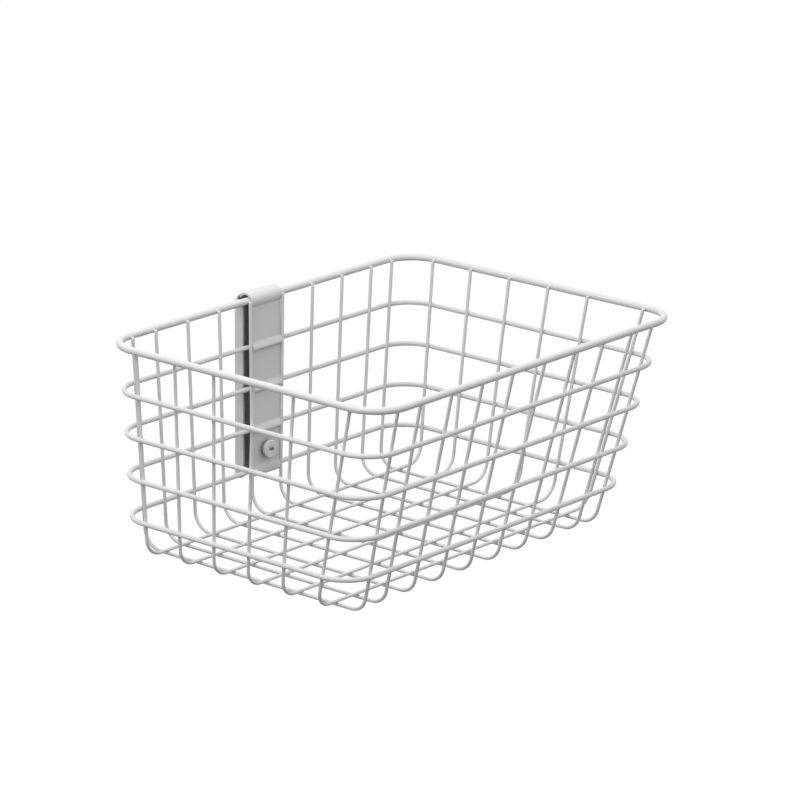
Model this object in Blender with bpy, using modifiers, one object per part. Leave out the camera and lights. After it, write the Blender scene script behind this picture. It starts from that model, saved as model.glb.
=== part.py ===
"""Cart basket of coated steel wire, with a clamp bracket in the middle of its back wall.

Metres, +Z up, +X to the right along the back wall, -Y towards the front of the basket.
The origin is the middle of the bracket's flat back face, the one that goes against the cart.
"""
import math

import bmesh
import bpy
from mathutils import Vector

# Wires
RIM_WIRE = 0.0063           # diameter of the wire that closes the mouth
HOOP_WIRE = 0.0041          # diameter of the hoops below it
MAT_WIRE = 0.0028           # diameter of the U-shaped wires
CLEARANCE = 0.0003          # gap left between pieces that touch

# Basket, measured between the centres of the U-shaped wires
MOUTH_LENGTH = 0.3640
MOUTH_DEPTH = 0.2796
FLOOR_LENGTH = 0.3381
FLOOR_DEPTH = 0.2339
BASKET_HEIGHT = 0.1799      # rim centre down to the centre of the cross wires on the floor
RIM_CORNER = 0.030          # corner radius of the rim, at its centre
HOOP_CORNER = 0.0285
FLOOR_BEND = 0.016          # bend between a wall and the floor
TIP_RISE = 0.0002           # how far the wires' ends stand above the rim's centre

# Hoops
HOOP_COUNT = 4
FIRST_HOOP_DROP = 0.0393    # rim centre to the first hoop
HOOP_SPACING = 0.0360

# U-shaped wires that run from the back wall to the front wall
CROSS_COUNT = 10
MIDDLE_PITCH_MOUTH = 0.0398     # between the two wires beside the clamp plate
MIDDLE_PITCH_FLOOR = 0.0348
END_PITCH_MOUTH = 0.0267    # the outermost wires stand closer to their neighbours
END_PITCH_FLOOR = 0.0244
END_INSET_MOUTH = 0.0233    # outermost wire to the side wall
END_INSET_FLOOR = 0.02375

# U-shaped wires that run from the left wall to the right wall
LONG_COUNT = 6
LONG_BACK_INSET_MOUTH = 0.0261
LONG_BACK_INSET_FLOOR = 0.0247
LONG_FRONT_INSET_MOUTH = 0.0280
LONG_FRONT_INSET_FLOOR = 0.02775
LONG_PITCH_MOUTH = 0.0419

# Channel behind the back wall
CHANNEL_LENGTH = 0.1572
CHANNEL_WIDTH = 0.0461
CHANNEL_DEPTH = 0.0100
CHANNEL_SHEET = 0.002
CHANNEL_BEND = 0.0027       # outer radius of its two folds
WEB_CORNER = 0.008
FLANGE_CORNER = 0.007       # at the top, where the flanges stop short of the rim
LOWER_CORNER = 0.0035
RIM_BELOW_TOP = 0.0041      # rim centre below the top of the web
FIXING_HOLE = 0.0064        # diameter of the two holes that bolt the channel on
FIXING_PITCH = 0.080

# Clamp plate inside the back wall
PLATE_SHEET = 0.0018
PLATE_SET = 0.0025          # its flat stretches stand this far in front of the hoops' centres
RIB_RISE = 0.0021           # how far a rib stands out
RIB_HALF_HEIGHT = 0.0066
RIB_DROP = 0.0010           # the rib's crest below the centre of its hoop
HOOK_RADIUS = 0.0064        # roll over the rim, at the middle of the sheet
HOOK_BACK = 0.0017          # centre of the roll behind the rim's centre
HOOK_FALL = 0.0006          # and below it
HOOK_END = math.radians(25)     # the roll ends this far above the level of its centre
UNDER_BEND = 0.0015         # reverse bend that brings the roll into the flat, under the rim
LIP_BLEND = 0.0050
LIP_DROP = 0.0015           # the lip's roll sits this far below the last hoop's centre
LIP_TAIL = 0.0008

# Clamp screw
SCREW_DROP = 0.0005         # its axis below the middle between the last two hoops
SCREW_SHANK = 0.0060
SHANK_GAP = 0.0004          # clearance round the shank
HEAD_WIDTH = 0.0152
HEAD_HEIGHT = 0.0037
HEAD_ROUND = 0.0009
SLOT_LENGTH = 0.0080
SLOT_WIDTH = 0.0018
SLOT_DEPTH = 0.0014
SLOT_TILT = math.radians(7)
WASHER_WIDTH = 0.0120
WASHER_HEIGHT = 0.0018
NUT_WIDTH = 0.0115
NUT_HEIGHT = 0.0050
THREAD_END = 0.0006         # the shank stops this far short of the web

# Smoothness
BEND_STEPS = 7
CORNER_STEPS = 8
RIM_CORNER_STEPS = 10
HOOK_STEPS = 20
WIRE_BEVEL_STEPS = 2
RIM_BEVEL_STEPS = 3
TURN_STEPS = 32
HEAD_STEPS = 4              # in the rounded edge of the screw's head
HOLE_SIDES = 24
OVERCUT = 2                 # a cutter is this many times as long as what it cuts

# Colours, roughness and metallic values
COAT = (0.80, 0.80, 0.80, 1.0)
COAT_ROUGHNESS = 0.42
ZINC = (0.62, 0.63, 0.64, 1.0)
ZINC_ROUGHNESS = 0.35

# Heights
RIM_Z = CHANNEL_LENGTH / 2 - RIM_BELOW_TOP
FLOOR_Z = RIM_Z - BASKET_HEIGHT
LONG_FLOOR_Z = FLOOR_Z + MAT_WIRE + CLEARANCE
TIP_Z = RIM_Z + TIP_RISE

# Places from the channel's back face forwards
HOOP_BACK_Y = -(CHANNEL_DEPTH + CLEARANCE + HOOP_WIRE / 2)
HOOP_OFFSET = (HOOP_WIRE + MAT_WIRE) / 2 + CLEARANCE
RIM_OFFSET = (RIM_WIRE + MAT_WIRE) / 2 + CLEARANCE
MAT_BACK_Y = HOOP_BACK_Y - HOOP_OFFSET
RIM_BACK_Y = MAT_BACK_Y + RIM_OFFSET
PLATE_MID_Y = HOOP_BACK_Y - PLATE_SET
PLATE_FACE_Y = PLATE_MID_Y - PLATE_SHEET / 2
HEAD_SEAT_Y = PLATE_FACE_Y - WASHER_HEIGHT - 2 * CLEARANCE
SHANK_TIP_Y = -CHANNEL_SHEET - THREAD_END


def at_height(mouth, floor, z):
    """A size that changes evenly from the mouth to the floor."""
    share = (RIM_Z - z) / BASKET_HEIGHT
    return mouth + (floor - mouth) * share


def half_length(z):
    return at_height(MOUTH_LENGTH, FLOOR_LENGTH, z) / 2


def front_y(z):
    return MAT_BACK_Y - at_height(MOUTH_DEPTH, FLOOR_DEPTH, z)


def hoop_z(index):
    """Height of a hoop's centre. Index 1 is the hoop next below the rim."""
    return RIM_Z - FIRST_HOOP_DROP - HOOP_SPACING * (index - 1)


SCREW_Z = (hoop_z(HOOP_COUNT - 1) + hoop_z(HOOP_COUNT)) / 2 - SCREW_DROP


def cross_x(index, z):
    """Place along X of a cross wire, counted from the left, from 1.

    The two middle wires and the last two on each side have places of their own, and the
    wires between them are spread evenly.
    """
    first = at_height(MIDDLE_PITCH_MOUTH, MIDDLE_PITCH_FLOOR, z) / 2
    last = half_length(z) - at_height(END_INSET_MOUTH, END_INSET_FLOOR, z)
    before_last = last - at_height(END_PITCH_MOUTH, END_PITCH_FLOOR, z)
    pitch = (before_last - first) / (CROSS_COUNT / 2 - 2)
    steps = index - (CROSS_COUNT + 1) / 2
    if index in (1, CROSS_COUNT):
        return math.copysign(last, steps)
    return math.copysign(first - pitch / 2, steps) + steps * pitch


def long_y(index, z):
    """Place along Y of a long wire, counted from the back, from 1.

    At the mouth the last wire keeps to the front wall, and the others stay at their pitch.
    """
    if index == LONG_COUNT:
        inset = at_height(LONG_FRONT_INSET_MOUTH, LONG_FRONT_INSET_FLOOR, z)
        return front_y(z) + inset
    floor_run = FLOOR_DEPTH - LONG_BACK_INSET_FLOOR - LONG_FRONT_INSET_FLOOR
    floor_pitch = floor_run / (LONG_COUNT - 1)
    inset = at_height(LONG_BACK_INSET_MOUTH, LONG_BACK_INSET_FLOOR, z)
    pitch = at_height(LONG_PITCH_MOUTH, floor_pitch, z)
    return MAT_BACK_Y - inset - pitch * (index - 1)


def rounded(corners, radius, steps):
    """Points along a line through the corners, each inner corner turned into an arc."""
    points = [corners[0]]
    for before, corner, after in zip(corners, corners[1:], corners[2:]):
        back = (before - corner).normalized()
        ahead = (after - corner).normalized()
        half_angle = back.angle(ahead) / 2
        centre = corner + (back + ahead).normalized() * (radius / math.sin(half_angle))
        start = corner + back * (radius / math.tan(half_angle)) - centre
        end = corner + ahead * (radius / math.tan(half_angle)) - centre
        for step in range(steps + 1):
            points.append(centre + start.slerp(end, step / steps).normalized() * radius)
    points.append(corners[-1])
    return points


def rounded_rectangle(half_x, back, front, z, radius, steps):
    """A closed ring of points round a rectangle that lies flat."""
    corners = (
        (half_x - radius, back - radius, 0),
        (radius - half_x, back - radius, 90),
        (radius - half_x, front + radius, 180),
        (half_x - radius, front + radius, 270),
    )
    points = []
    for x, y, first in corners:
        for step in range(steps + 1):
            angle = math.radians(first + 90 * step / steps)
            points.append(Vector((x + radius * math.cos(angle), y + radius * math.sin(angle), z)))
    return points


def corner_sag(radius, distance):
    """How far a rounded corner cuts in, this far from the side that it ends at."""
    if distance >= radius:
        return 0.0
    return radius - math.sqrt(radius ** 2 - (radius - distance) ** 2)


def new_collection(name):
    made = bpy.data.collections.new(name)
    bpy.context.scene.collection.children.link(made)
    return made


def finish(name, colour, roughness, metallic):
    made = bpy.data.materials.new(name)
    made.use_nodes = True
    shader = made.node_tree.nodes["Principled BSDF"]
    shader.inputs["Base Color"].default_value = colour
    shader.inputs["Roughness"].default_value = roughness
    shader.inputs["Metallic"].default_value = metallic
    return made


def coated(made):
    made.data.materials.append(finish(made.name + "_coat", COAT, COAT_ROUGHNESS, 0.0))


def zinc_plated(made):
    made.data.materials.append(finish(made.name + "_zinc", ZINC, ZINC_ROUGHNESS, 1.0))


def empty(name, place, parent=None):
    made = bpy.data.objects.new(name, None)
    made.location = place
    made.parent = parent
    parts.objects.link(made)
    return made


def wire(name, points, diameter, parent, bevel_steps=WIRE_BEVEL_STEPS, closed=False):
    curve = bpy.data.curves.new(name, "CURVE")
    curve.dimensions = "3D"
    curve.bevel_depth = diameter / 2
    curve.bevel_resolution = bevel_steps
    curve.use_fill_caps = True
    spline = curve.splines.new("POLY")
    spline.points.add(len(points) - 1)
    for slot, place in zip(spline.points, points):
        slot.co = (*place, 1)
    spline.use_cyclic_u = closed
    spline.use_smooth = True
    made = bpy.data.objects.new(name, curve)
    made.parent = parent
    parts.objects.link(made)
    coated(made)
    return made


def cutter(made):
    cutters.objects.link(made)
    made.hide_render = True
    made.display_type = "WIRE"
    return made


def flat_outline(name, points, thickness):
    """A closed flat shape in XY, given thickness both ways along Z, as a mesh."""
    curve = bpy.data.curves.new(name, "CURVE")
    curve.dimensions = "2D"
    curve.fill_mode = "BOTH"
    curve.extrude = thickness / 2
    spline = curve.splines.new("POLY")
    spline.points.add(len(points) - 1)
    for slot, place in zip(spline.points, points):
        slot.co = (place[0], place[1], 0, 1)
    spline.use_cyclic_u = True
    holder = bpy.data.objects.new(name, curve)
    bpy.context.scene.collection.objects.link(holder)
    graph = bpy.context.evaluated_depsgraph_get()
    mesh = bpy.data.meshes.new_from_object(holder.evaluated_get(graph))
    bpy.data.objects.remove(holder)
    bpy.data.curves.remove(curve)
    shape = bmesh.new()
    shape.from_mesh(mesh)
    bmesh.ops.remove_doubles(shape, verts=shape.verts, dist=1e-6)
    bmesh.ops.recalc_face_normals(shape, faces=shape.faces)
    shape.to_mesh(mesh)
    shape.free()
    return bpy.data.objects.new(name, mesh)


def round_cutter(name, diameter, length, place, parent=None):
    """A cylinder along Y, centred on its place."""
    mesh = bpy.data.meshes.new(name)
    shape = bmesh.new()
    bmesh.ops.create_cone(
        shape, cap_ends=True, segments=HOLE_SIDES, radius1=diameter / 2, radius2=diameter / 2, depth=length
    )
    shape.to_mesh(mesh)
    shape.free()
    made = bpy.data.objects.new(name, mesh)
    made.location = place
    made.rotation_euler = (math.pi / 2, 0, 0)
    made.parent = parent
    return cutter(made)


def cut(made, tool):
    boolean = made.modifiers.new("cut_" + tool.name, "BOOLEAN")
    boolean.operation = "DIFFERENCE"
    boolean.solver = "EXACT"
    boolean.object = tool


def sheet_strip(name, rows, thickness, offset, parent):
    """A sheet whose surface runs through rows of two points, thickened by Solidify."""
    mesh = bpy.data.meshes.new(name)
    shape = bmesh.new()
    rails = [[shape.verts.new(point) for point in row] for row in rows]
    for above, below in zip(rails, rails[1:]):
        shape.faces.new((above[0], below[0], below[1], above[1]))
    for face in shape.faces:
        face.smooth = True
    for edge in shape.edges:
        edge.smooth = not edge.is_boundary
    shape.normal_update()
    shape.to_mesh(mesh)
    shape.free()
    made = bpy.data.objects.new(name, mesh)
    made.parent = parent
    parts.objects.link(made)
    solid = made.modifiers.new("sheet", "SOLIDIFY")
    solid.thickness = thickness
    solid.offset = offset
    solid.use_even_offset = True
    return made


def turned(name, profile, place, parent):
    """A profile of (radius, height) turned about an axis that points forwards, along -Y."""
    mesh = bpy.data.meshes.new(name)
    mesh.from_pydata(
        [(radius, 0, height) for radius, height in profile],
        [(index, index + 1) for index in range(len(profile) - 1)],
        [],
    )
    made = bpy.data.objects.new(name, mesh)
    made.location = place
    made.rotation_euler = (math.pi / 2, 0, 0)
    made.parent = parent
    parts.objects.link(made)
    screw = made.modifiers.new("turn", "SCREW")
    screw.axis = "Z"
    screw.steps = TURN_STEPS
    screw.render_steps = TURN_STEPS
    screw.use_merge_vertices = True
    screw.merge_threshold = 0.00001
    screw.use_smooth_shade = True
    return made


def make_rim_and_hoops(parent):
    points = rounded_rectangle(
        half_length(RIM_Z) + RIM_OFFSET,
        RIM_BACK_Y,
        front_y(RIM_Z) - RIM_OFFSET,
        RIM_Z,
        RIM_CORNER,
        RIM_CORNER_STEPS,
    )
    wire("rim_wire", points, RIM_WIRE, parent, RIM_BEVEL_STEPS, closed=True)
    for index in range(1, HOOP_COUNT + 1):
        z = hoop_z(index)
        points = rounded_rectangle(
            half_length(z) + HOOP_OFFSET,
            HOOP_BACK_Y,
            front_y(z) - HOOP_OFFSET,
            z,
            HOOP_CORNER,
            CORNER_STEPS,
        )
        wire(f"hoop_{index}", points, HOOP_WIRE, parent, closed=True)


def end_wire_inset(wall_distance):
    """How far a wire near a corner steps in, to stay inside the rim's and the hoops' corners.

    wall_distance gives, for a height, the distance from the wire to the wall round the corner.
    """
    sags = [corner_sag(RIM_CORNER, wall_distance(RIM_Z) + RIM_OFFSET)]
    for index in range(1, HOOP_COUNT + 1):
        sags.append(corner_sag(HOOP_CORNER, wall_distance(hoop_z(index)) + HOOP_OFFSET))
    return max(sags)


def make_cross_wires(parent):
    for index in range(1, CROSS_COUNT + 1):
        inset = 0.0
        if index in (1, CROSS_COUNT):
            inset = end_wire_inset(lambda z: half_length(z) - abs(cross_x(index, z)))
        corners = [
            Vector((cross_x(index, TIP_Z), MAT_BACK_Y - inset, TIP_Z)),
            Vector((cross_x(index, FLOOR_Z), MAT_BACK_Y - inset, FLOOR_Z)),
            Vector((cross_x(index, FLOOR_Z), front_y(FLOOR_Z) + inset, FLOOR_Z)),
            Vector((cross_x(index, TIP_Z), front_y(TIP_Z) + inset, TIP_Z)),
        ]
        wire(f"cross_wire_{index:02d}", rounded(corners, FLOOR_BEND, BEND_STEPS), MAT_WIRE, parent)


def make_long_wires(parent):
    for index in range(1, LONG_COUNT + 1):
        inset = 0.0
        if index == 1:
            inset = end_wire_inset(lambda z: MAT_BACK_Y - long_y(index, z))
        if index == LONG_COUNT:
            inset = end_wire_inset(lambda z: long_y(index, z) - front_y(z))
        top_x = half_length(TIP_Z) - inset
        floor_x = half_length(LONG_FLOOR_Z) - inset
        corners = [
            Vector((-top_x, long_y(index, TIP_Z), TIP_Z)),
            Vector((-floor_x, long_y(index, LONG_FLOOR_Z), LONG_FLOOR_Z)),
            Vector((floor_x, long_y(index, LONG_FLOOR_Z), LONG_FLOOR_Z)),
            Vector((top_x, long_y(index, TIP_Z), TIP_Z)),
        ]
        wire(f"long_wire_{index}", rounded(corners, FLOOR_BEND, BEND_STEPS), MAT_WIRE, parent)


def corner_waste(edge_y, edge_z, radius, reach):
    """Outline, in YZ, of what is cut away to round a corner at (edge_y, edge_z).

    The corner points to -Y and, by the sign of reach, up or down.
    """
    up = math.copysign(1.0, reach)
    points = [(edge_y - radius, edge_z - up * radius)]
    for step in range(CORNER_STEPS + 1):
        angle = math.pi / 2 * step / CORNER_STEPS
        y = edge_y + radius - radius * math.cos(angle)
        z = edge_z - up * radius * (1 - math.sin(angle))
        points.append((y, z))
    return points


def flange_top():
    """Height at which the flanges end, so that their rounded corners clear the rim."""
    across = FLANGE_CORNER - CHANNEL_DEPTH - RIM_BACK_Y
    reach = FLANGE_CORNER + RIM_WIRE / 2 + CLEARANCE
    return RIM_Z + FLANGE_CORNER - math.sqrt(max(reach ** 2 - across ** 2, 0))


def make_channel(parent):
    """Web with two folded flanges, open to the front."""
    half = CHANNEL_WIDTH / 2
    section = rounded(
        [
            Vector((-half, -CHANNEL_DEPTH, 0)),
            Vector((-half, 0, 0)),
            Vector((half, 0, 0)),
            Vector((half, -CHANNEL_DEPTH, 0)),
        ],
        CHANNEL_BEND,
        BEND_STEPS,
    )
    top = Vector((0, 0, CHANNEL_LENGTH / 2))
    rows = [(point - top, point + top) for point in section]
    channel = sheet_strip("mount_channel", rows, CHANNEL_SHEET, 1, parent)
    coated(channel)

    fold_inside = -max(CHANNEL_BEND, CHANNEL_SHEET)
    past = CHANNEL_LENGTH / 2 + FLANGE_CORNER
    outline = corner_waste(-CHANNEL_DEPTH, flange_top(), FLANGE_CORNER, 1)
    outline += [(fold_inside, flange_top()), (fold_inside, past), (outline[0][0], past)]
    upper = flat_outline("upper_flange_waste", outline, OVERCUT * CHANNEL_WIDTH)
    outline = corner_waste(-CHANNEL_DEPTH, -CHANNEL_LENGTH / 2, LOWER_CORNER, -1)
    outline += [(outline[-1][0], -past), (outline[0][0], -past)]
    lower = flat_outline("lower_flange_waste", outline, OVERCUT * CHANNEL_WIDTH)
    for tool in (upper, lower):
        tool.rotation_euler = (math.pi / 2, 0, math.pi / 2)
        tool.parent = parent
        cut(channel, cutter(tool))

    for side in (-1, 1):
        edge_x = side * half
        outline = [(edge_x + side * WEB_CORNER, CHANNEL_LENGTH / 2 - WEB_CORNER)]
        for step in range(CORNER_STEPS + 1):
            angle = math.pi / 2 * step / CORNER_STEPS
            x = edge_x - side * WEB_CORNER * (1 - math.cos(angle))
            outline.append((x, CHANNEL_LENGTH / 2 - WEB_CORNER * (1 - math.sin(angle))))
        outline += [(outline[-1][0], past), (outline[0][0], past)]
        tool = flat_outline(f"web_corner_waste_{side + 2}", outline, OVERCUT * 2 * CHANNEL_DEPTH)
        tool.rotation_euler = (math.pi / 2, 0, 0)
        tool.parent = parent
        cut(channel, cutter(tool))

    for side in (-1, 1):
        place = (0, -CHANNEL_SHEET / 2, side * FIXING_PITCH / 2)
        tool = round_cutter(f"fixing_hole_{side + 2}", FIXING_HOLE, OVERCUT * CHANNEL_SHEET, place, parent)
        cut(channel, tool)


def hook_profile(flat_y):
    """The hook's roll over the rim, and the reverse bend that brings it to the flat."""
    points = []
    both = HOOK_RADIUS + UNDER_BEND
    shift = flat_y - (HOOK_BACK - HOOK_RADIUS)
    under = math.acos(1 - shift / both)
    for step in range(HOOK_STEPS + 1):
        angle = HOOK_END + (math.pi + under - HOOK_END) * step / HOOK_STEPS
        points.append((HOOK_BACK + HOOK_RADIUS * math.cos(angle), HOOK_RADIUS * math.sin(angle) - HOOK_FALL))
    bend_y = HOOK_BACK - both * math.cos(under)
    bend_z = -HOOK_FALL - both * math.sin(under)
    for step in range(1, BEND_STEPS + 1):
        angle = under * (1 - step / BEND_STEPS)
        points.append((bend_y + UNDER_BEND * math.cos(angle), bend_z + UNDER_BEND * math.sin(angle)))
    return points


def plate_profile():
    """Middle of the plate's sheet from the hook's end down to the lip, as (y, z) from the rim's axis."""
    flat_y = PLATE_MID_Y - RIM_BACK_Y
    points = hook_profile(flat_y)
    for index in range(1, HOOP_COUNT):
        crest_z = hoop_z(index) - RIM_Z - RIB_DROP
        for step in range(2 * BEND_STEPS + 1):
            along = 1 - step / BEND_STEPS
            bulge = RIB_RISE * (1 + math.cos(math.pi * along)) / 2
            points.append((flat_y - bulge, crest_z + RIB_HALF_HEIGHT * along))
    lip_y = HOOP_BACK_Y - RIM_BACK_Y
    last_z = hoop_z(HOOP_COUNT) - RIM_Z
    lip_z = last_z - LIP_DROP
    lip_radius = (HOOP_WIRE + PLATE_SHEET) / 2 + CLEARANCE
    for step in range(BEND_STEPS + 1):
        share = step / BEND_STEPS
        ease = (1 - math.cos(math.pi * share)) / 2
        points.append((flat_y + (lip_y - lip_radius - flat_y) * ease, last_z + LIP_BLEND * (1 - share)))
    for step in range(BEND_STEPS + 1):
        angle = math.pi / 2 * step / BEND_STEPS
        points.append((lip_y - lip_radius * math.cos(angle), lip_z - lip_radius * math.sin(angle)))
    points.append((lip_y + LIP_TAIL, lip_z - lip_radius))
    return points


def make_clamp_plate(parent):
    """Pressed strip between the two middle cross wires. Its sides follow the wires as they fan out."""
    middle = CROSS_COUNT // 2 + 1
    rows = []
    for y, z in plate_profile():
        height = min(z + RIM_Z, TIP_Z)
        half = cross_x(middle, height) - MAT_WIRE / 2 - CLEARANCE
        rows.append((Vector((-half, y, z)), Vector((half, y, z))))
    plate = sheet_strip("clamp_plate", rows, PLATE_SHEET, 0, parent)
    coated(plate)
    place = (0, PLATE_MID_Y - RIM_BACK_Y, SCREW_Z - RIM_Z)
    hole = SCREW_SHANK + 2 * SHANK_GAP
    cut(plate, round_cutter("screw_hole", hole, OVERCUT * PLATE_SHEET, place, parent))


def ring_profile(bore, width, height):
    return [(width / 2, height), (width / 2, 0), (bore / 2, 0), (bore / 2, height), (width / 2, height)]


def make_screw(parent):
    """Large round head with a short slot, and a plain shank in place of its thread."""
    shank = SHANK_TIP_Y - HEAD_SEAT_Y
    profile = [(0, HEAD_HEIGHT)]
    for step in range(HEAD_STEPS + 1):
        angle = math.pi / 2 * step / HEAD_STEPS
        radius = HEAD_WIDTH / 2 - HEAD_ROUND * (1 - math.sin(angle))
        profile.append((radius, HEAD_HEIGHT - HEAD_ROUND * (1 - math.cos(angle))))
    profile += [(HEAD_WIDTH / 2, 0), (SCREW_SHANK / 2, 0)]
    chamfer = THREAD_END
    profile += [(SCREW_SHANK / 2, chamfer - shank), (SCREW_SHANK / 2 - chamfer, -shank), (0, -shank)]
    made = turned("clamp_screw", profile, (0, 0, 0), parent)
    coated(made)

    run = (SLOT_LENGTH - SLOT_WIDTH) / 2
    outline = []
    for first, centre in ((-90, run), (90, -run)):
        for step in range(CORNER_STEPS + 1):
            angle = math.radians(first + 180 * step / CORNER_STEPS)
            outline.append((centre + SLOT_WIDTH / 2 * math.cos(angle), SLOT_WIDTH / 2 * math.sin(angle)))
    slot = flat_outline("slot_waste", outline, OVERCUT * SLOT_DEPTH)
    slot.location = (0, -HEAD_HEIGHT, 0)
    slot.rotation_mode = "XZY"
    slot.rotation_euler = (math.pi / 2, -SLOT_TILT, 0)
    slot.parent = parent
    cut(made, cutter(slot))


def make_nut(parent):
    """Six-sided weld nut on the inside of the channel's web."""
    mesh = bpy.data.meshes.new("weld_nut")
    shape = bmesh.new()
    bmesh.ops.create_cone(
        shape,
        cap_ends=True,
        segments=6,
        radius1=NUT_WIDTH / 2,
        radius2=NUT_WIDTH / 2,
        depth=NUT_HEIGHT,
    )
    shape.to_mesh(mesh)
    shape.free()
    nut = bpy.data.objects.new("weld_nut", mesh)
    nut.location = (0, -CHANNEL_SHEET - CLEARANCE - NUT_HEIGHT / 2, SCREW_Z)
    nut.rotation_euler = (math.pi / 2, 0, 0)
    nut.parent = parent
    parts.objects.link(nut)
    zinc_plated(nut)
    bore = SCREW_SHANK + 2 * SHANK_GAP
    cut(nut, round_cutter("nut_bore", bore, OVERCUT * NUT_HEIGHT, nut.location, parent))


for old in list(bpy.data.objects):
    bpy.data.objects.remove(old)

parts = new_collection("cart_basket")
cutters = new_collection("cart_basket_cutters")

basket = empty("basket", (0, 0, 0))
make_rim_and_hoops(basket)
make_cross_wires(basket)
make_long_wires(basket)
make_channel(basket)
make_nut(basket)

plate_hinge = empty("plate_hinge", (0, RIM_BACK_Y, RIM_Z), basket)
make_clamp_plate(plate_hinge)

screw_seat = empty("screw_seat", (0, HEAD_SEAT_Y - RIM_BACK_Y, SCREW_Z - RIM_Z), plate_hinge)
make_screw(screw_seat)
washer_place = (0, CLEARANCE + WASHER_HEIGHT, 0)
washer_bore = SCREW_SHANK + 2 * CLEARANCE
washer = turned("screw_washer", ring_profile(washer_bore, WASHER_WIDTH, WASHER_HEIGHT), washer_place, screw_seat)
zinc_plated(washer)
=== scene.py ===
"""Looks of the cart basket: coated wires with their welds, the clamp bracket, light and camera.

Metres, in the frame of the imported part: +X right along the back wall, -Y to the front, +Z up.
"""
import math
from types import SimpleNamespace

import bmesh
import bpy
from mathutils import Matrix, Vector


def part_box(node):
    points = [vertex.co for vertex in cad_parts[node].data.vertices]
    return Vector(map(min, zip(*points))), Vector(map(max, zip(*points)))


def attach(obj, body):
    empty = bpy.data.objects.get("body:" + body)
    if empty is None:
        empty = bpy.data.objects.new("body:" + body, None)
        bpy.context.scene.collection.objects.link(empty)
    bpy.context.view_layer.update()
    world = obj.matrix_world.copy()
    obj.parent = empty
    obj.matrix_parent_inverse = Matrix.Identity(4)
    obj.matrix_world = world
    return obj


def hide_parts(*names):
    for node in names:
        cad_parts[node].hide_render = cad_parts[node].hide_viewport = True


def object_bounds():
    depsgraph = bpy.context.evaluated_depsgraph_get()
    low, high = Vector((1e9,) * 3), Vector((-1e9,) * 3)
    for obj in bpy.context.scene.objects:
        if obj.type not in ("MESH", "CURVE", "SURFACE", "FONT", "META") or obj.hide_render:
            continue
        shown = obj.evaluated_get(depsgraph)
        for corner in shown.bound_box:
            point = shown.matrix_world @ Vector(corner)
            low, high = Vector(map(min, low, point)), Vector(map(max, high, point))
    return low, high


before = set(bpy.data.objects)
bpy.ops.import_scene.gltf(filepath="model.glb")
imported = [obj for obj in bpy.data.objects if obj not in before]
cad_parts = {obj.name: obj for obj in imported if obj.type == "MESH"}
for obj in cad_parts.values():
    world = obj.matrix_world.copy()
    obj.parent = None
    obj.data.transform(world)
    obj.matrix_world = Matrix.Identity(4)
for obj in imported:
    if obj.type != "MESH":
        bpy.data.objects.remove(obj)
cad_low, cad_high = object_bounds()

# Wires
MAT_RADIUS = 0.0014         # the U-shaped wires
RIM_CORNER = 0.030
HOOP_CORNER = 0.0285
FLOOR_BEND = 0.016
TIP_RISE = 0.0002           # the wires' ends above the rim's centre
END_ROUND = 0.0005          # rounded edge of a cut and coated end
CLEARANCE = 0.0003          # what the CAD leaves between pieces that touch
SET_DOWN = 0.0004           # rim and hoops, this much nearer to the U-shaped wires than in the CAD

# Welds, as a coated fillet between two wires
WELD_WAIST = 0.0009
WELD_FLARE = 0.0018
WELD_DEPTH = 0.0007         # how far it runs into each wire
WELD_LEVELS = 8
WELD_SIDES = 16
WELD_CURVE = 1.5            # power by which it widens from its waist

# Channel
CHANNEL_SHEET = 0.002
CHANNEL_BEND = 0.0027
WEB_CORNER = 0.008
FLANGE_CORNER = 0.007
LOWER_CORNER = 0.0035
FIXING_HOLE = 0.0064
FIXING_PITCH = 0.080
SHEET_EDGE = 0.00035        # rounding of a coated sheet's edges
EDGE_SEGMENTS = 3
EDGE_ANGLE = 50             # degrees, above which an edge is rounded
CUT_PAST = 0.030            # how far a cut runs past the sheet's edge

# Clamp plate
PLATE_SHEET = 0.0018
PLATE_COLUMNS = (-1, -0.5, 0, 0.5, 1)
PLATE_SET = 0.0025          # middle of its sheet, in front of the hoops' axes
PLATE_MARGIN = 0.0001       # from its sides to the wires beside it
LEFT_OF_PLATE = 4           # place among the cross wires, counted from 0
RIGHT_OF_PLATE = 5
RIB_RISE = 0.0021
RIB_UPPER = 0.0066          # from its start down to its crest
RIB_LOWER = 0.0025
RIB_DROP = 0.0015           # crest below the hoop behind it
HOOK_RADIUS = 0.0064
HOOK_BACK = 0.0017
HOOK_FALL = 0.0006
HOOK_END = math.radians(25)
UNDER_BEND = 0.0016         # radius of the reverse bend under the roll
NECK_SET = 0.0006           # how much nearer to the wires the sheet starts, under the roll
LIP_BLEND = 0.0050
LIP_DROP = 0.0015
LIP_TAIL = 0.0008

# Clamp screw
SHANK_RADIUS = 0.0030
THREAD_ROOT = 0.0025
THREAD_PITCH = 0.001
HEAD_HEIGHT = 0.0037
HEAD_ROUND = 0.0009
HEAD_UNDERCUT = 0.0008      # slope under the head's lower edge
SLOT_LENGTH = 0.0066
SLOT_WIDTH = 0.0026
SLOT_DEPTH = 0.0022
SLOT_TILT = math.radians(14)
SLOT_EDGE = 0.00018
BORE_GAP = 0.0004
NUT_BORE = 0.0034
NUT_EDGE = 0.0003

# Noise, for the looks: a scale counts its cells in a metre, a detail its finer layers
GRAIN_DETAIL = 2

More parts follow.
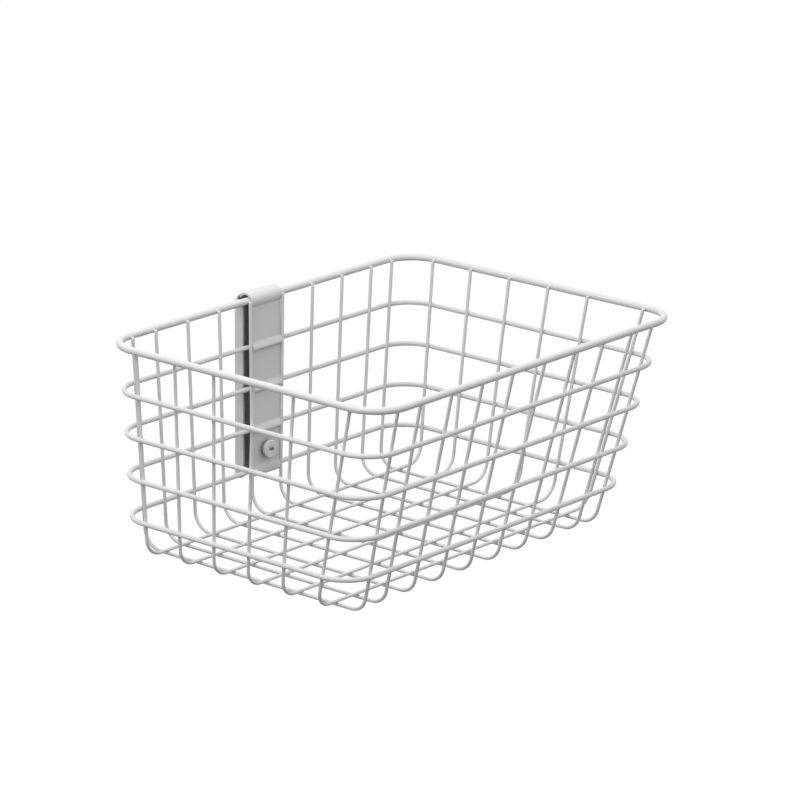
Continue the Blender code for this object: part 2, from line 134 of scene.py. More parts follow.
# Powder coat
COAT_DARKEST = (0.775, 0.775, 0.775)
COAT_LIGHTEST = (0.825, 0.825, 0.825)
COAT_CLOUDS = 45
COAT_CLOUD_DETAIL = 3
COAT_ROUGHNESS = 0.42
COAT_ROUGHER = 0.05         # how far the roughness varies each way
GLOSS_GRAIN = 700
PEEL_GRAIN = 1100
PEEL_STRENGTH = 0.35
PEEL_HEIGHT = 0.00012
# Painted shade: the coat's colour darkened in recesses and where pieces meet
PAINTED_SHADE_REACH = 0.016        # how near other surfaces stand, for the painted shade that darkens the coat's colour
PAINTED_SHADE_STRENGTH = 0.7

# Zinc plate, its tone lowered below plain zinc as painted shade for the washer under the screw's
# head
ZINC_DARKEST_WITH_PAINTED_SHADE = (0.44, 0.45, 0.47)
ZINC_LIGHTEST_WITH_PAINTED_SHADE = (0.56, 0.57, 0.58)
ZINC_SMOOTHEST = 0.28
ZINC_ROUGHEST = 0.42
ZINC_CLOUDS = 260
ZINC_CLOUD_DETAIL = 4
ZINC_GRAIN = 2600
ZINC_STRENGTH = 0.2
ZINC_HEIGHT = 0.00005

# Smoothness
RIM_SIDES = 24
HOOP_SIDES = 20
MAT_SIDES = 16
END_STEPS = 4
CORNER_STEPS = 28
BEND_STEPS = 16
HOOK_STEPS = 48
RIB_STEPS = 24
EDGE_STEPS = 8
TURN_STEPS = 72
BORE_SIDES = 36
THREAD_SIDES = 32
THREAD_RINGS = 10           # in one pitch
SHEET_SMOOTH = 40           # degrees, above which an edge stays sharp
METAL_SMOOTH = 35

# Studio
FLOOR_BOUNCE = 0.05         # how much light the floor sends back
FLOOR_GLOW = 0.965          # what it adds for the camera alone, to be white
FLOOR_RADIUS = 40
FLOOR_SIDES = 64
FLOOR_DROP = 0.0002         # floor below the lowest wire
WORLD_LEVEL = 0.74
BOX_TARGET = Vector((0, -0.15, 0))
BOX_SIZE = 1.0
TOP_BOX_PLACE = Vector((0, -0.2, 1.4))
TOP_BOX_ENERGY = 3.6
LEFT_BOX_PLACE = Vector((-1, -0.15, 1))
LEFT_BOX_ENERGY = 5.8

# Camera, in degrees and metres
VIEW_TURN = -49.598
VIEW_LIFT = 17.033
VIEW_ROLL = 0.540
VIEW_FRONT = 0.1297         # what it looks at, in front of the back wall
VIEW_UP = 0.101575          # and above the floor wires
VIEW_ASIDE = -0.012233
VIEW_ABOVE = -0.015968
VIEW_DISTANCE = 3.44696
LENS = 191.155
SENSOR = 36
CLIP_START = 0.05


def ring(node):
    """Centre line of a wire that lies flat all round the basket, from the CAD node's box."""
    low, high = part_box(node)
    radius = (high.z - low.z) / 2
    return SimpleNamespace(
        half=high.x - radius,
        back=high.y - radius,
        front=low.y + radius,
        z=low.z + radius,
        radius=radius,
    )


RIM = ring("rim_wire")
HOOPS = [ring(f"hoop_{index}") for index in range(1, 5)]
CROSS_NODES = [f"cross_wire_{index:02d}" for index in range(1, 11)]
LONG_NODES = [f"long_wire_{index}" for index in range(1, 7)]
TIP_Z = RIM.z + TIP_RISE
HOOP_RUN = HOOPS[0].z - HOOPS[-1].z
SIDE_SLOPE = (HOOPS[0].half - HOOPS[-1].half) / HOOP_RUN
FRONT_SLOPE = (HOOPS[-1].front - HOOPS[0].front) / HOOP_RUN


def rounded(corners, radius, steps):
    """Points along a line through the corners, each inner corner turned into an arc."""
    points = [corners[0]]
    for before, corner, after in zip(corners, corners[1:], corners[2:]):
        back = (before - corner).normalized()
        ahead = (after - corner).normalized()
        half_angle = back.angle(ahead) / 2
        centre = corner + (back + ahead).normalized() * (radius / math.sin(half_angle))
        start = corner + back * (radius / math.tan(half_angle)) - centre
        end = corner + ahead * (radius / math.tan(half_angle)) - centre
        for step in range(steps + 1):
            points.append(centre + start.slerp(end, step / steps).normalized() * radius)
    points.append(corners[-1])
    return points


def ring_path(wire, corner):
    """A closed rounded rectangle, drawn in by the set-down of the welds."""
    half = wire.half - SET_DOWN
    back = wire.back - SET_DOWN
    front = wire.front + SET_DOWN
    points = []
    for x, y, first in (
        (half - corner, back - corner, 0),
        (corner - half, back - corner, 90),
        (corner - half, front + corner, 180),
        (half - corner, front + corner, 270),
    ):
        for step in range(CORNER_STEPS + 1):
            angle = math.radians(first + 90 * step / CORNER_STEPS)
            across = x + corner * math.cos(angle)
            deep = y + corner * math.sin(angle)
            points.append(Vector((across, deep, wire.z)))
    return points


def cross_path(node):
    """A wire from the back wall's top, over the floor, to the front wall's top."""
    low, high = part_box(node)
    side = math.copysign(1, low.x + high.x)
    floor_x = side * (min(abs(low.x), abs(high.x)) + MAT_RADIUS)
    tip_x = side * (max(abs(low.x), abs(high.x)) - MAT_RADIUS * math.cos(math.atan(SIDE_SLOPE)))
    back = high.y - MAT_RADIUS
    front = low.y + MAT_RADIUS * math.cos(math.atan(FRONT_SLOPE))
    floor_z = low.z + MAT_RADIUS
    floor_front = front + FRONT_SLOPE * (TIP_Z - floor_z)
    return [
        Vector((tip_x, back, TIP_Z)),
        Vector((floor_x, back, floor_z)),
        Vector((floor_x, floor_front, floor_z)),
        Vector((tip_x, front, TIP_Z)),
    ]


def long_path(node):
    """A wire from the left wall's top, over the floor, to the right wall's top."""
    low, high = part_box(node)
    tip_x = high.x - MAT_RADIUS * math.cos(math.atan(SIDE_SLOPE))
    floor_z = low.z + MAT_RADIUS
    floor_x = tip_x - SIDE_SLOPE * (TIP_Z - floor_z)
    tip_y = low.y + MAT_RADIUS
    floor_y = high.y - MAT_RADIUS
    return [
        Vector((-tip_x, tip_y, TIP_Z)),
        Vector((-floor_x, floor_y, floor_z)),
        Vector((floor_x, floor_y, floor_z)),
        Vector((tip_x, tip_y, TIP_Z)),
    ]


def new_object(name, shape, material, smooth_angle=None):
    """Turns a bmesh into a piece. Without an angle, it is smooth all over."""
    mesh = bpy.data.meshes.new(name)
    shape.to_mesh(mesh)
    shape.free()
    mesh.shade_smooth()
    if smooth_angle is not None:
        mesh.set_sharp_from_angle(angle=math.radians(smooth_angle))
    mesh.materials.append(material)
    made = bpy.data.objects.new(name, mesh)
    bpy.context.scene.collection.objects.link(made)
    return made


def apply_modifiers(made, smooth_angle=None):
    """Makes the modifiers real. With an angle, it also shades the piece anew."""
    graph = bpy.context.evaluated_depsgraph_get()
    mesh = bpy.data.meshes.new_from_object(made.evaluated_get(graph))
    made.modifiers.clear()
    made.data = mesh
    if smooth_angle is not None:
        mesh.shade_smooth()
        mesh.set_sharp_from_angle(angle=math.radians(smooth_angle))


def keep_flats(made):
    """Shades the large flat faces as flat, beside their rounded edges."""
    weighted = made.modifiers.new("normals", "WEIGHTED_NORMAL")
    weighted.keep_sharp = True
    apply_modifiers(made)


def add_rings(shape, rings, closed):
    """Joins rings of points by quads. An open row of rings gets end faces."""
    rows = [[shape.verts.new(point) for point in points] for points in rings]
    pairs = list(zip(rows, rows[1:]))
    if closed:
        pairs.append((rows[-1], rows[0]))
    for first, second in pairs:
        for side in range(len(first)):
            after = (side + 1) % len(first)
            shape.faces.new((first[side], first[after], second[after], second[side]))
    if not closed:
        shape.faces.new(list(reversed(rows[0])))
        shape.faces.new(rows[-1])


def add_tube(shape, path, radius, sides, closed=False):
    """A round wire along a path. An open one has rounded ends."""
    count = len(path)
    stations = []
    for index, point in enumerate(path):
        if closed:
            run = path[(index + 1) % count] - path[index - 1]
        else:
            run = path[min(index + 1, count - 1)] - path[max(index - 1, 0)]
        stations.append((point, run.normalized(), radius))
    if not closed:
        first, first_run, _ = stations[0]
        last, last_run, _ = stations[-1]
        start = []
        end = []
        for step in range(END_STEPS + 1):
            angle = math.pi / 2 * step / END_STEPS
            inward = END_ROUND * (1 - math.sin(angle))
            size = radius - END_ROUND * (1 - math.cos(angle))
            start.insert(0, (first + first_run * inward, first_run, size))
            end.append((last - last_run * inward, last_run, size))
        stations = start + stations[1:-1] + end
    normal = stations[0][1].orthogonal()
    rings = []
    for place, run, size in stations:
        normal = (normal - run * normal.dot(run)).normalized()
        across = run.cross(normal)
        points = []
        for side in range(sides):
            angle = 2 * math.pi * side / sides
            points.append(place + (normal * math.cos(angle) + across * math.sin(angle)) * size)
        rings.append(points)
    add_rings(shape, rings, closed)


def add_weld(shape, place, normal, along_a, along_b, gap):
    """The fillet between wire A, on the side that the normal points to, and wire B."""
    reach = gap / 2 + WELD_DEPTH
    rings = []
    for level in range(WELD_LEVELS + 1):
        share = 2 * level / WELD_LEVELS - 1
        flare = (WELD_FLARE - WELD_WAIST) * abs(share) ** WELD_CURVE
        size_a = WELD_WAIST + (flare if share > 0 else 0)
        size_b = WELD_WAIST + (flare if share < 0 else 0)
        points = []
        for side in range(WELD_SIDES):
            angle = 2 * math.pi * side / WELD_SIDES
            offset = along_a * (size_a * math.cos(angle)) + along_b * (size_b * math.sin(angle))
            points.append(place + normal * (share * reach) + offset)
        rings.append(points)
    add_rings(shape, rings, False)


def nearest(path, point):
    """Nearest place to a point on a closed path, and the path's direction there."""
    best = None
    for index, start in enumerate(path):
        run = path[(index + 1) % len(path)] - start
        share = max(0.0, min(1.0, (point - start).dot(run) / run.length_squared))
        found = start + run * share
        if best is None or (found - point).length < (best[0] - point).length:
            best = (found, run.normalized())
    return best


def weld_wires_to_ring(shape, wire, path, legs):
    """A weld where each upright leg of the U-shaped wires passes this ring."""
    for tip, foot in legs:
        share = (tip.z - wire.z) / (tip.z - foot.z)
        point = tip.lerp(foot, share)
        found, direction = nearest(path, point)
        normal = (found - point).normalized()
        gap = (found - point).length - wire.radius - MAT_RADIUS
        place = point + normal * (MAT_RADIUS + gap / 2)
        leg_direction = (foot - tip).normalized()
        add_weld(shape, place, normal, direction, leg_direction, gap)


def ridden(made, body, slot, *nodes):
    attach(made, body)
    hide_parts(*nodes)


# Materials


def node(tree, kind, **inputs):
    made = tree.nodes.new(kind)
    for name, value in inputs.items():
        made.inputs[name].default_value = value
    return made


def noise(tree, coordinates, scale, detail):
    made = node(tree, "ShaderNodeTexNoise", Scale=scale, Detail=detail)
    tree.links.new(coordinates.outputs["Object"], made.inputs["Vector"])
    return made


def spread(tree, source, low, high):
    """Maps a noise's 0 to 1 to a range."""
    made = node(tree, "ShaderNodeMapRange")
    made.inputs["To Min"].default_value = low
    made.inputs["To Max"].default_value = high
    tree.links.new(source.outputs["Fac"], made.inputs["Value"])
    return made


def tinted(tree, source, darkest, lightest):
    """Mixes two colours by a noise."""
    made = node(tree, "ShaderNodeMix")
    made.data_type = "RGBA"
    made.inputs["A"].default_value = (*darkest, 1)
    made.inputs["B"].default_value = (*lightest, 1)
    tree.links.new(source.outputs["Fac"], made.inputs["Factor"])
    return made


def painted_shade_in_hollows(tree, tint):
    """Painted shade: the same colour, darker where other surfaces stand close around it."""
    painted_shade_node = node(tree, "ShaderNodeAmbientOcclusion", Distance=PAINTED_SHADE_REACH)
    tree.links.new(tint.outputs["Result"], painted_shade_node.inputs["Color"])
    made = node(tree, "ShaderNodeMix")
    made.data_type = "RGBA"
    made.inputs["Factor"].default_value = PAINTED_SHADE_STRENGTH
    tree.links.new(tint.outputs["Result"], made.inputs["A"])
    tree.links.new(painted_shade_node.outputs["Color"], made.inputs["B"])
    return made


def powder_coat(name, painted_shade=False):
    """Satin powder coat: fine orange peel, faint clouds in its tone and gloss; when asked, painted
    shade in its recesses.
    """
    made = bpy.data.materials.new(name)
    made.use_nodes = True
    tree = made.node_tree
    shader = tree.nodes["Principled BSDF"]
    coordinates = node(tree, "ShaderNodeTexCoord")
    clouds = noise(tree, coordinates, COAT_CLOUDS, COAT_CLOUD_DETAIL)
    tint = tinted(tree, clouds, COAT_DARKEST, COAT_LIGHTEST)
    # painted shade: the colour darkened in recesses and where pieces meet
    if painted_shade:
        tint = painted_shade_in_hollows(tree, tint)
    tree.links.new(tint.outputs["Result"], shader.inputs["Base Color"])
    gloss = noise(tree, coordinates, GLOSS_GRAIN, GRAIN_DETAIL)
    rough = spread(tree, gloss, COAT_ROUGHNESS - COAT_ROUGHER, COAT_ROUGHNESS + COAT_ROUGHER)
    tree.links.new(rough.outputs["Result"], shader.inputs["Roughness"])
    peel = noise(tree, coordinates, PEEL_GRAIN, GRAIN_DETAIL)
    bump = node(tree, "ShaderNodeBump", Strength=PEEL_STRENGTH, Distance=PEEL_HEIGHT)
    tree.links.new(peel.outputs["Fac"], bump.inputs["Height"])
    tree.links.new(bump.outputs["Normal"], shader.inputs["Normal"])
    return made


def zinc_plate(name):
    """Zinc: bluish metal with fine grain and a few dull clouds, its tone partly zinc's own and
    partly lowered as painted shade.
    """
    made = bpy.data.materials.new(name)
    made.use_nodes = True
    tree = made.node_tree
    shader = tree.nodes["Principled BSDF"]
    shader.inputs["Metallic"].default_value = 1.0
    coordinates = node(tree, "ShaderNodeTexCoord")
    clouds = noise(tree, coordinates, ZINC_CLOUDS, ZINC_CLOUD_DETAIL)
    tint = tinted(tree, clouds, ZINC_DARKEST_WITH_PAINTED_SHADE, ZINC_LIGHTEST_WITH_PAINTED_SHADE)
    tree.links.new(tint.outputs["Result"], shader.inputs["Base Color"])
    rough = spread(tree, clouds, ZINC_SMOOTHEST, ZINC_ROUGHEST)
    tree.links.new(rough.outputs["Result"], shader.inputs["Roughness"])
    grain = noise(tree, coordinates, ZINC_GRAIN, GRAIN_DETAIL)
    bump = node(tree, "ShaderNodeBump", Strength=ZINC_STRENGTH, Distance=ZINC_HEIGHT)
    tree.links.new(grain.outputs["Fac"], bump.inputs["Height"])
    tree.links.new(bump.outputs["Normal"], shader.inputs["Normal"])
    return made


coat = powder_coat("coat")
# The bracket's coat has painted shade in its recesses and where its pieces meet.
bracket_coat_painted_shade = powder_coat("bracket_coat_painted_shade", painted_shade=True)
zinc = zinc_plate("zinc")

# Wires and their welds

cross_corners = [cross_path(name) for name in CROSS_NODES]
long_corners = [long_path(name) for name in LONG_NODES]
legs = []
for corners in cross_corners + long_corners:
    legs.append((corners[0], corners[1]))
    legs.append((corners[3], corners[2]))


def make_ring(name, wire, corner, sides):
    shape = bmesh.new()
    path = ring_path(wire, corner)
    add_tube(shape, path, wire.radius, sides, closed=True)
    weld_wires_to_ring(shape, wire, path, legs)
    ridden(new_object(name + "_welded", shape, coat), "basket", "coat", name)


def make_cross_wire(name, corners):
    shape = bmesh.new()
    add_tube(shape, rounded(corners, FLOOR_BEND, BEND_STEPS), MAT_RADIUS, MAT_SIDES)
    ridden(new_object(name + "_smooth", shape, coat), "basket", "coat", name)


def make_long_wire(name, corners):
    """A wire that lies on the cross wires, with a weld at each of them."""
    shape = bmesh.new()
    add_tube(shape, rounded(corners, FLOOR_BEND, BEND_STEPS), MAT_RADIUS, MAT_SIDES)
    for crossed in cross_corners:
        gap = corners[1].z - crossed[1].z - 2 * MAT_RADIUS
        place = Vector((crossed[1].x, corners[1].y, crossed[1].z + MAT_RADIUS + gap / 2))
        add_weld(shape, place, Vector((0, 0, 1)), Vector((1, 0, 0)), Vector((0, 1, 0)), gap)
    ridden(new_object(name + "_welded", shape, coat), "basket", "coat", name)


make_ring("rim_wire", RIM, RIM_CORNER, RIM_SIDES)
for index, hoop in enumerate(HOOPS):
    make_ring(f"hoop_{index + 1}", hoop, HOOP_CORNER, HOOP_SIDES)
for name, corners in zip(CROSS_NODES, cross_corners):
    make_cross_wire(name, corners)
for name, corners in zip(LONG_NODES, long_corners):
    make_long_wire(name, corners)

# Bracket

# A flat outline drawn as (y, z) or as (x, z), stood up by one of these.
YZ = Matrix(((0, 0, 1, 0), (1, 0, 0, 0), (0, 1, 0, 0), (0, 0, 0, 1)))
XZ = Matrix(((1, 0, 0, 0), (0, 0, -1, 0), (0, 1, 0, 0), (0, 0, 0, 1)))

channel_low, channel_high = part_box("mount_channel")
screw_low, screw_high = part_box("clamp_screw")
washer_low, washer_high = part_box("screw_washer")
nut_low, nut_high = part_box("weld_nut")
HEAD_RADIUS = (screw_high.z - screw_low.z) / 2
SCREW_Z = (screw_low.z + screw_high.z) / 2
HEAD_SEAT_Y = screw_low.y + HEAD_HEIGHT


def strip(name, rows, thickness, offset):
    """An open sheet through rows of points, thickened."""
    shape = bmesh.new()
    rails = [[shape.verts.new(point) for point in row] for row in rows]
    for above, below in zip(rails, rails[1:]):
        for index in range(len(above) - 1):
            shape.faces.new((above[index], below[index], below[index + 1], above[index + 1]))
    made = new_object(name, shape, bracket_coat_painted_shade)
    solid = made.modifiers.new("sheet", "SOLIDIFY")
    solid.thickness = thickness
    solid.offset = offset
    solid.use_even_offset = True
    return made


def edge_rounding(made, width):
    bevel = made.modifiers.new("edges", "BEVEL")
    bevel.width = width
    bevel.segments = EDGE_SEGMENTS
    bevel.limit_method = "ANGLE"
    bevel.angle_limit = math.radians(EDGE_ANGLE)


def flat_outline(points, thickness, matrix):
    """A closed flat shape in XY, given thickness both ways along Z, then placed."""
    shape = bmesh.new()
    corners = [shape.verts.new((x, y, -thickness / 2)) for x, y in points]
    face = shape.faces.new(corners)
    grown = bmesh.ops.extrude_face_region(shape, geom=[face])
    moved = [item for item in grown["geom"] if isinstance(item, bmesh.types.BMVert)]
    bmesh.ops.translate(shape, verts=moved, vec=(0, 0, thickness))
    bmesh.ops.recalc_face_normals(shape, faces=shape.faces)
    bmesh.ops.transform(shape, matrix=matrix, verts=shape.verts)
    return new_object("waste", shape, bracket_coat_painted_shade)


def cylinder_tool(radius, length, place):
    """A cylinder along Y."""
    shape = bmesh.new()
    bmesh.ops.create_cone(
        shape, cap_ends=True, segments=BORE_SIDES, radius1=radius, radius2=radius, depth=length
    )
    turn = Matrix.Translation(place) @ Matrix.Rotation(math.pi / 2, 4, "X")
    bmesh.ops.transform(shape, matrix=turn, verts=shape.verts)
    return new_object("waste", shape, bracket_coat_painted_shade)


def cut(made, tools):
    """Cuts each tool from the object, and deletes the tools."""
    for tool in tools:
        boolean = made.modifiers.new("cut", "BOOLEAN")
        boolean.operation = "DIFFERENCE"
        boolean.solver = "EXACT"
        boolean.object = tool
    apply_modifiers(made, METAL_SMOOTH)
    for tool in tools:
        bpy.data.objects.remove(tool)


def corner_waste(edge, top, radius, across, up, run=0.0):
    """Outline of what is cut away to round a corner at (edge, top) that points across and up.

    The cut goes on past the end of the arc for the length of the run.
    """
    points = []
    for step in range(CORNER_STEPS + 1):
        angle = math.pi / 2 * step / CORNER_STEPS
        x = edge - across * radius * (1 - math.cos(angle))
        points.append((x, top - up * radius * (1 - math.sin(angle))))
    inner = points[-1][0] - across * run
    outer = edge + across * radius
    past = top + up * CUT_PAST
    if run:
        points.append((inner, top))
    return points + [(inner, past), (outer, past), (outer, points[0][1])]


def make_channel():
    """Web with two folded flanges, open to the front."""
    half = channel_high.x
    depth = SET_DOWN - channel_low.y
    top = channel_high.z
    corners = [
        Vector((-half, -depth, 0)),
        Vector((-half, 0, 0)),
        Vector((half, 0, 0)),
        Vector((half, -depth, 0)),
    ]
    rise = Vector((0, 0, top))
    rows = [(point - rise, point + rise) for point in rounded(corners, CHANNEL_BEND, BEND_STEPS)]
    made = strip("mount_channel_coated", rows, CHANNEL_SHEET, 1)

    across = FLANGE_CORNER - depth - (RIM.back - SET_DOWN)
    reach = FLANGE_CORNER + RIM.radius + CLEARANCE
    flange_top = RIM.z + FLANGE_CORNER - math.sqrt(reach**2 - across**2)
    to_fold = depth - FLANGE_CORNER - CHANNEL_BEND
    upper = corner_waste(-depth, flange_top, FLANGE_CORNER, -1, 1, to_fold)
    lower = corner_waste(-depth, -top, LOWER_CORNER, -1, -1)
    tools = [flat_outline(outline, 4 * half, YZ) for outline in (upper, lower)]
    for side in (-1, 1):
        corner = corner_waste(side * half, top, WEB_CORNER, side, 1)
        tools.append(flat_outline(corner, 4 * depth, XZ))
        place = Vector((0, -CHANNEL_SHEET / 2, side * FIXING_PITCH / 2))
        tools.append(cylinder_tool(FIXING_HOLE / 2, 2 * CHANNEL_SHEET, place))
    cut(made, tools)
    edge_rounding(made, SHEET_EDGE)
    apply_modifiers(made, SHEET_SMOOTH)
    keep_flats(made)
    ridden(made, "basket", "coat", "mount_channel")


def hook_profile(flat_y):
    """The hook's roll over the rim, and the reverse bend that brings it to the flat."""
    points = []
    both = HOOK_RADIUS + UNDER_BEND
    shift = flat_y - (HOOK_BACK - HOOK_RADIUS)
    under = math.acos(1 - shift / both)
    for step in range(HOOK_STEPS + 1):
        angle = HOOK_END + (math.pi + under - HOOK_END) * step / HOOK_STEPS
        y = HOOK_BACK + HOOK_RADIUS * math.cos(angle)
        points.append((y, HOOK_RADIUS * math.sin(angle) - HOOK_FALL))
    bend_y = HOOK_BACK - both * math.cos(under)
    bend_z = -HOOK_FALL - both * math.sin(under)
    for step in range(1, BEND_STEPS + 1):
        angle = under * (1 - step / BEND_STEPS)
        y = bend_y + UNDER_BEND * math.cos(angle)
        points.append((y, bend_z + UNDER_BEND * math.sin(angle)))
    return points


def plate_profile():
    """Middle of the plate's sheet from the hook's end to the lip, as (y, z) from the rim's axis."""
    hoop_back = HOOPS[0].back - RIM.back
    flat_y = hoop_back - PLATE_SET
    points = hook_profile(flat_y + NECK_SET)
    for hoop in HOOPS[:-1]:
        crest_z = hoop.z - RIM.z - RIB_DROP
        for step in range(RIB_STEPS + 1):
            along = 1 - 2 * step / RIB_STEPS
            bulge = RIB_RISE * (1 + math.cos(math.pi * along)) / 2
            reach = RIB_UPPER if along > 0 else RIB_LOWER
            points.append((flat_y - bulge, crest_z + reach * along))
    lip_y = hoop_back - SET_DOWN
    last_z = HOOPS[-1].z - RIM.z
    lip_z = last_z - LIP_DROP
    lip_radius = HOOPS[-1].radius + PLATE_SHEET / 2 + CLEARANCE
    for step in range(BEND_STEPS + 1):
        share = step / BEND_STEPS
        ease = (1 - math.cos(math.pi * share)) / 2
        y = flat_y + (lip_y - lip_radius - flat_y) * ease
        points.append((y, last_z + LIP_BLEND * (1 - share)))
    for step in range(BEND_STEPS + 1):
        angle = math.pi / 2 * step / BEND_STEPS
        points.append((lip_y - lip_radius * math.cos(angle), lip_z - lip_radius * math.sin(angle)))
    points.append((lip_y + LIP_TAIL, lip_z - lip_radius))
    return points


def make_plate():
    """Pressed strip between the middle cross wires. Its sides follow them as they fan out."""
    tip, foot = cross_corners[RIGHT_OF_PLATE][:2]
    rows = []
    for y, z in plate_profile():
        share = (tip.z - min(z + RIM.z, tip.z)) / (tip.z - foot.z)
        half = tip.lerp(foot, share).x - MAT_RADIUS - PLATE_MARGIN
        place = Vector((0, y + RIM.back, z + RIM.z))
        rows.append([place + Vector((half * side, 0, 0)) for side in PLATE_COLUMNS])
    made = strip("clamp_plate_coated", rows, PLATE_SHEET, 0)
    edge_rounding(made, SHEET_EDGE)
    middle = Vector((0, HOOPS[0].back - PLATE_SET, SCREW_Z))
    cut(made, [cylinder_tool(SHANK_RADIUS + BORE_GAP, 4 * PLATE_SHEET, middle)])
    keep_flats(made)
    ridden(made, "plate", "coat", "clamp_plate")


def turned(profile, start):
    """Rings of a profile of (radius, height) turned about an axis along -Y."""
    rings = []
    for radius, height in profile:
        points = []
        for side in range(TURN_STEPS):
            angle = 2 * math.pi * side / TURN_STEPS
            offset = Vector((radius * math.cos(angle), -height, radius * math.sin(angle)))
            points.append(start + offset)
        rings.append(points)
    return rings


def thread_rings(shank):
    """Rings of a screw thread that fades out at both ends."""
    rings = []
    count = int(shank / THREAD_PITCH * THREAD_RINGS)
    for level in range(count + 1):
        depth = shank * level / count
        fade = max(0, min(1, depth / THREAD_PITCH, (shank - depth) / (THREAD_PITCH / 2)))
        points = []
        for side in range(THREAD_SIDES):
            turn = side / THREAD_SIDES
            phase = (depth / THREAD_PITCH + turn) % 1
            ridge = 1 - abs(2 * phase - 1)
            radius = THREAD_ROOT + (SHANK_RADIUS - THREAD_ROOT) * ridge * fade
            angle = 2 * math.pi * turn
            x = radius * math.cos(angle)
            z = SCREW_Z + radius * math.sin(angle)
            points.append(Vector((x, HEAD_SEAT_Y + depth, z)))
        rings.append(points)
    rings.insert(0, [point - Vector((0, THREAD_PITCH, 0)) for point in rings[0]])
    return rings


def slot_waste():
    """What the slot in the head takes away."""
    radius = SLOT_WIDTH / 2
    run = (SLOT_LENGTH - SLOT_WIDTH) / 2
    outline = []
    for first, centre in ((-90, run), (90, -run)):
        for step in range(BEND_STEPS + 1):
            angle = math.radians(first + 180 * step / BEND_STEPS)
            outline.append((centre + radius * math.cos(angle), radius * math.sin(angle)))
    place = Matrix.Translation(Vector((0, screw_low.y, SCREW_Z)))
    return flat_outline(outline, 2 * SLOT_DEPTH, place @ Matrix.Rotation(SLOT_TILT, 4, "Y") @ XZ)


def make_screw():
    """Head with a rounded edge and a slot, and the threaded shank below it."""
    profile = [
        (SHANK_RADIUS, 0.0),
        (HEAD_RADIUS - HEAD_UNDERCUT, 0.0),
        (HEAD_RADIUS, HEAD_UNDERCUT),
    ]
    for step in range(EDGE_STEPS + 1):
        angle = math.pi / 2 * step / EDGE_STEPS
        radius = HEAD_RADIUS - HEAD_ROUND * (1 - math.cos(angle))
        profile.append((radius, HEAD_HEIGHT - HEAD_ROUND * (1 - math.sin(angle))))
    shape = bmesh.new()
    add_rings(shape, turned(profile, Vector((0, HEAD_SEAT_Y, SCREW_Z))), False)
    bmesh.ops.recalc_face_normals(shape, faces=shape.faces)
    made = new_object("clamp_screw_slotted", shape, bracket_coat_painted_shade, METAL_SMOOTH)
    cut(made, [slot_waste()])
    edge_rounding(made, SLOT_EDGE)
    apply_modifiers(made, METAL_SMOOTH)

    shape = bmesh.new()
    shape.from_mesh(made.data)
    add_rings(shape, thread_rings(screw_high.y - HEAD_SEAT_Y), False)
    bmesh.ops.recalc_face_normals(shape, faces=shape.faces)
    shape.to_mesh(made.data)
    shape.free()
    made.data.shade_smooth()
    made.data.set_sharp_from_angle(angle=math.radians(METAL_SMOOTH))
    ridden(made, "screw", "coat", "clamp_screw")


def make_washer():
    """Plain washer with its edges broken by a sixth of its height."""
    radius = (washer_high.z - washer_low.z) / 2
    height = washer_high.y - washer_low.y
    edge = height / 6
    bore = SHANK_RADIUS + BORE_GAP
    profile = [
        (bore, edge),
        (bore + edge, 0),
        (radius - edge, 0),
        (radius, edge),
        (radius, height - edge),
        (radius - edge, height),
        (bore + edge, height),
        (bore, height - edge),
    ]
    shape = bmesh.new()
    add_rings(shape, turned(profile, Vector((0, washer_high.y, SCREW_Z))), True)
    bmesh.ops.recalc_face_normals(shape, faces=shape.faces)
    # The washer's dark look in the gap under the head is painted shade, carried by the zinc's
    # lowered tone.
    made = new_object("screw_washer_zinc", shape, zinc, METAL_SMOOTH)
    ridden(made, "screw_carrier", "zinc", "screw_washer")


def make_nut():
    """Six-sided weld nut with a corner on each side along its longer way."""
    height = nut_high.y - nut_low.y
    half_x = (nut_high.x - nut_low.x) / 2
    half_z = (nut_high.z - nut_low.z) / 2
    middle = Vector((0, (nut_low.y + nut_high.y) / 2, SCREW_Z))
    place = Matrix.Translation(middle) @ Matrix.Rotation(math.pi / 2, 4, "X")
    if half_z > half_x:
        place = place @ Matrix.Rotation(math.pi / 6, 4, "Z")
    size = max(half_x, half_z)
    shape = bmesh.new()
    bmesh.ops.create_cone(
        shape, cap_ends=True, segments=6, radius1=size, radius2=size, depth=height
    )
    bmesh.ops.transform(shape, matrix=place, verts=shape.verts)
    made = new_object("weld_nut_zinc", shape, zinc, METAL_SMOOTH)
    cut(made, [cylinder_tool(NUT_BORE, 2 * height, middle)])
    edge_rounding(made, NUT_EDGE)
    apply_modifiers(made, METAL_SMOOTH)
    ridden(made, "basket", "zinc", "weld_nut")


make_channel()
make_plate()
make_screw()
make_washer()
make_nut()

# Floor, light and camera


def white_to_camera(tree, surface, white):
    """Shows one shader to the camera, to gloss and through glass, and another to other light."""
    path = node(tree, "ShaderNodeLightPath")
    seen = path.outputs["Is Camera Ray"]
    for name in ("Is Glossy Ray", "Is Transmission Ray"):
        either = node(tree, "ShaderNodeMath")
        either.operation = "MAXIMUM"
        tree.links.new(seen, either.inputs[0])
        tree.links.new(path.outputs[name], either.inputs[1])
        seen = either.outputs[0]
    chosen = node(tree, "ShaderNodeMixShader")
    tree.links.new(seen, chosen.inputs["Fac"])
    tree.links.new(surface, chosen.inputs[1])
    tree.links.new(white, chosen.inputs[2])
    return chosen


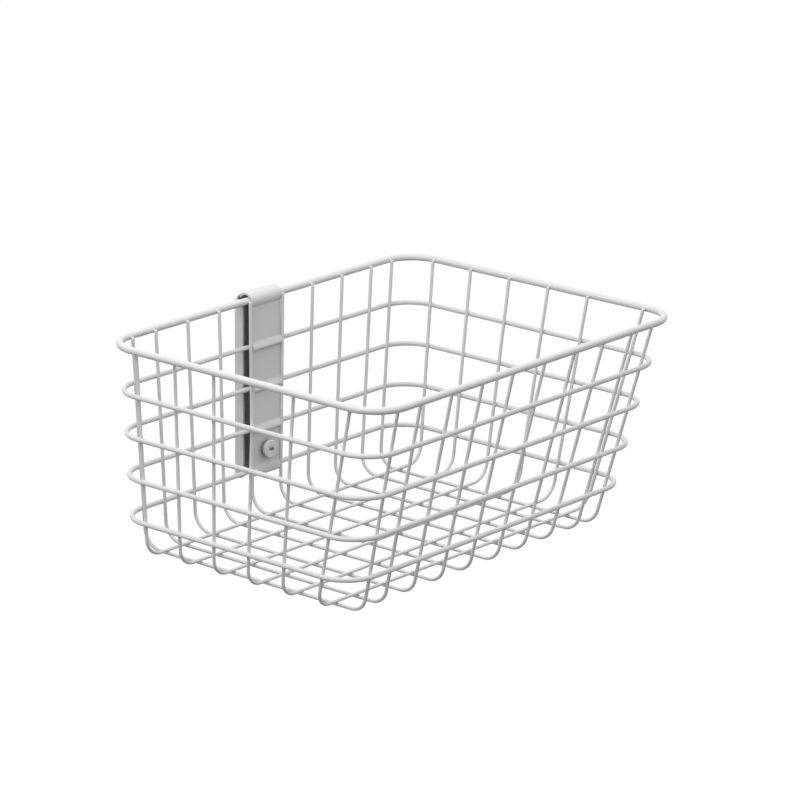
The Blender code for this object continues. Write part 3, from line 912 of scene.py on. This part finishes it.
def make_floor():
    shape = bmesh.new()
    bmesh.ops.create_circle(shape, cap_ends=True, segments=FLOOR_SIDES, radius=FLOOR_RADIUS)
    material = bpy.data.materials.new("floor")
    material.use_nodes = True
    tree = material.node_tree
    tree.nodes.remove(tree.nodes["Principled BSDF"])
    plain = node(tree, "ShaderNodeBsdfDiffuse", Color=(FLOOR_BOUNCE, FLOOR_BOUNCE, FLOOR_BOUNCE, 1))
    glow = node(tree, "ShaderNodeEmission", Strength=FLOOR_GLOW)
    both = node(tree, "ShaderNodeAddShader")
    tree.links.new(plain.outputs[0], both.inputs[0])
    tree.links.new(glow.outputs[0], both.inputs[1])
    chosen = white_to_camera(tree, plain.outputs[0], both.outputs[0])
    tree.links.new(chosen.outputs[0], tree.nodes["Material Output"].inputs["Surface"])
    made = new_object("floor", shape, material)
    made.location.z = cad_low.z - FLOOR_DROP


def make_world():
    world = bpy.data.worlds.new("studio")
    bpy.context.scene.world = world
    world.use_nodes = True
    tree = world.node_tree
    tree.nodes.remove(tree.nodes["Background"])
    dim = node(tree, "ShaderNodeBackground", Color=(1, 1, 1, 1), Strength=WORLD_LEVEL)
    white = node(tree, "ShaderNodeBackground", Color=(1, 1, 1, 1), Strength=1.0)
    chosen = white_to_camera(tree, dim.outputs[0], white.outputs[0])
    tree.links.new(chosen.outputs[0], tree.nodes["World Output"].inputs["Surface"])


def soft_box(name, place, energy):
    light = bpy.data.lights.new(name, "AREA")
    light.shape = "SQUARE"
    light.size = BOX_SIZE
    light.energy = energy
    made = bpy.data.objects.new(name, light)
    made.location = place
    made.rotation_mode = "QUATERNION"
    made.rotation_quaternion = (BOX_TARGET - place).to_track_quat("-Z", "Y")
    bpy.context.scene.collection.objects.link(made)


def make_camera():
    """The photograph's view, from the front left and a little above."""
    turn, lift, roll = (math.radians(angle) for angle in (VIEW_TURN, VIEW_LIFT, VIEW_ROLL))
    floor_corner = cross_corners[LEFT_OF_PLATE][1]
    target = Vector((0, floor_corner.y - VIEW_FRONT, floor_corner.z + VIEW_UP))
    right = Vector((math.cos(turn), math.sin(turn), 0))
    level = Vector((math.sin(turn), -math.cos(turn), 0))
    back = level * math.cos(lift) + Vector((0, 0, math.sin(lift)))
    up = back.cross(right)
    rolled_right = right * math.cos(roll) + up * math.sin(roll)
    rolled_up = up * math.cos(roll) - right * math.sin(roll)
    camera = bpy.data.cameras.new("camera")
    camera.lens = LENS
    camera.sensor_width = SENSOR
    camera.clip_start = CLIP_START
    camera.clip_end = 5 * FLOOR_RADIUS
    made = bpy.data.objects.new("camera", camera)
    matrix = Matrix((rolled_right, rolled_up, back)).transposed().to_4x4()
    aim = target - rolled_right * VIEW_ASIDE - rolled_up * VIEW_ABOVE
    matrix.translation = aim + back * VIEW_DISTANCE
    made.matrix_world = matrix
    bpy.context.scene.collection.objects.link(made)
    bpy.context.scene.camera = made


make_floor()
make_world()
soft_box("top_box", TOP_BOX_PLACE, TOP_BOX_ENERGY)
soft_box("left_box", LEFT_BOX_PLACE, LEFT_BOX_ENERGY)
make_camera()
bpy.context.scene.view_settings.view_transform = "Standard"
